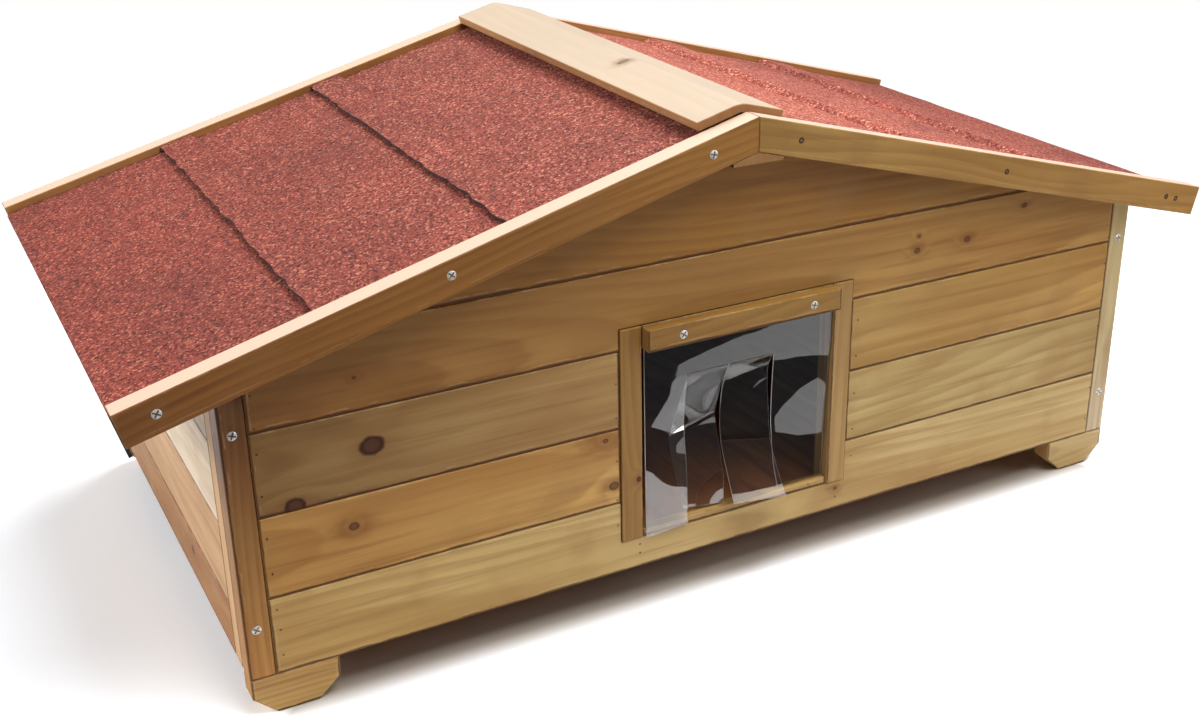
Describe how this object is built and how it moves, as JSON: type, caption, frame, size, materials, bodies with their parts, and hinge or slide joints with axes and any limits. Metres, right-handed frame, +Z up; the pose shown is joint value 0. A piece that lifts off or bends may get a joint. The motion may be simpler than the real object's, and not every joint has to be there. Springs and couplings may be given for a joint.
{
  "type": "outdoor cat house",
  "caption": "Low wooden outdoor cat house with a felted lift-off gable roof, board walls on chamfered feet and a clear slit curtain in its front door.",
  "frame": {"origin": "on the ground, under the middle of the house's outer box", "axes": "+X to the right along the front wall as seen from the front, +Y towards the back, +Z up"},
  "size_m": [1.0006, 0.517, 0.4216],
  "materials": {
    "honey_fir": "honey-brown stained fir boards, satin",
    "pale_fir": "pale stained fir, satin",
    "brown_fir": "brown stained fir, satin",
    "cap_fir": "light planed fir, satin",
    "raw_fir": "sawn fir, matt",
    "floor_ply": "reddish brown panel, satin",
    "red_felt": "bituminous roofing felt with brick-red mineral granules, matt and rough",
    "clear_sheet": "clear flexible PVC sheet, glossy"
  },
  "bodies": {
    "house": {"curtain_clamp_batten": "honey_fir", "curtain_top": "clear_sheet", "door_header": "honey_fir", "door_left_jamb": "honey_fir", "door_right_jamb": "honey_fir", "door_sill": "honey_fir", "floor_bearer": "raw_fir", "floor_panel": "floor_ply", "front_board_1": "honey_fir", "front_board_2_left": "honey_fir", "front_board_2_right": "honey_fir", "front_board_3_left": "honey_fir", "front_board_3_right": "honey_fir", "front_board_4": "honey_fir", "front_gable_board": "honey_fir", "front_left_foot": "honey_fir", "front_left_post": "honey_fir", "front_right_foot": "honey_fir", "front_right_post": "honey_fir", "left_front_batten": "pale_fir", "left_rear_batten": "pale_fir", "left_side_board_1": "pale_fir", "left_side_board_2": "pale_fir", "left_side_board_3": "pale_fir", "left_side_board_4": "pale_fir", "rear_board_1": "pale_fir", "rear_board_2": "pale_fir", "rear_board_3": "pale_fir", "rear_gable_board": "pale_fir", "rear_left_foot": "honey_fir", "rear_left_post": "pale_fir", "rear_middle_stile": "raw_fir", "rear_right_foot": "honey_fir", "rear_right_post": "pale_fir", "right_front_batten": "pale_fir", "right_rear_batten": "pale_fir", "right_side_board_1": "pale_fir", "right_side_board_2": "pale_fir", "right_side_board_3": "pale_fir", "right_side_board_4": "pale_fir"},
    "roof": {"front_left_bargeboard": "brown_fir", "front_right_bargeboard": "brown_fir", "left_eave_batten": "raw_fir", "left_eave_felt": "red_felt", "left_middle_felt": "red_felt", "left_roof_deck": "raw_fir", "left_upper_felt": "red_felt", "rear_left_bargeboard": "brown_fir", "rear_right_bargeboard": "brown_fir", "ridge_beam": "raw_fir", "ridge_cap": "cap_fir", "right_eave_batten": "raw_fir", "right_eave_felt": "red_felt", "right_middle_felt": "red_felt", "right_roof_deck": "raw_fir", "right_upper_felt": "red_felt"},
    "strip_1": {"curtain_strip_1": "clear_sheet"},
    "strip_2": {"curtain_strip_2": "clear_sheet"},
    "strip_3": {"curtain_strip_3": "clear_sheet"},
    "strip_4": {"curtain_strip_4": "clear_sheet"}
  },
  "joints": [
    {"name": "roof_lift", "type": "slide", "parent": "house", "child": "roof", "axis": [0, 0, 1], "range_m": [0, 0.3]},
    {"name": "strip_1_swing", "type": "hinge", "parent": "house", "child": "strip_1", "pos_m": [-0.07263, -0.24005, 0.2029], "axis": [-1, 0, 0], "range_deg": [0, 80]},
    {"name": "strip_2_swing", "type": "hinge", "parent": "house", "child": "strip_2", "pos_m": [-0.0323, -0.24005, 0.2029], "axis": [1, 0, 0], "range_deg": [0, 80]},
    {"name": "strip_3_swing", "type": "hinge", "parent": "house", "child": "strip_3", "pos_m": [0.0095, -0.24005, 0.2029], "axis": [-1, 0, 0], "range_deg": [0, 80]},
    {"name": "strip_4_swing", "type": "hinge", "parent": "house", "child": "strip_4", "pos_m": [0.06053, -0.24005, 0.2029], "axis": [1, 0, 0], "range_deg": [0, 80]}
  ]
}
